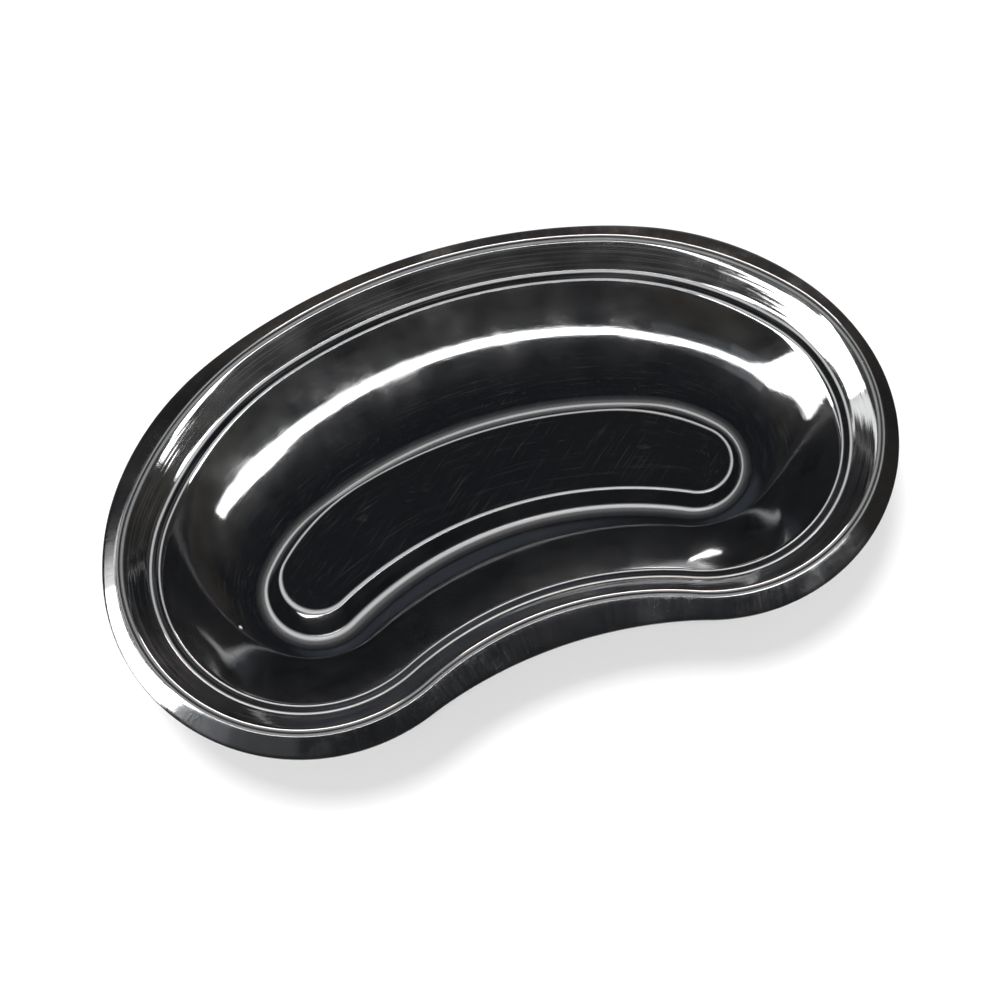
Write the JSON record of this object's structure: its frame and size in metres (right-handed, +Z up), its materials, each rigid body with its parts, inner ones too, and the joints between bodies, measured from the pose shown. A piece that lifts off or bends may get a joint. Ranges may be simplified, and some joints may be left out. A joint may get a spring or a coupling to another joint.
{
  "type": "kidney dish",
  "caption": "Polished steel kidney dish with a turned-down flange, a stepped rim wall and a raised kidney-shaped island in the floor.",
  "frame": {"origin": "centre of the outline's bounding box, on the plane that the foot ring stands on", "axes": "+Z up, +X along the length, +Y towards the bulging back, -Y towards the hollow of the kidney"},
  "size_m": [0.2508, 0.1492, 0.034],
  "materials": {
    "polished_steel": "mirror-polished stainless steel with fine draw marks and light scratches"
  },
  "bodies": {
    "root": {"dish": "polished_steel"}
  },
  "joints": []
}
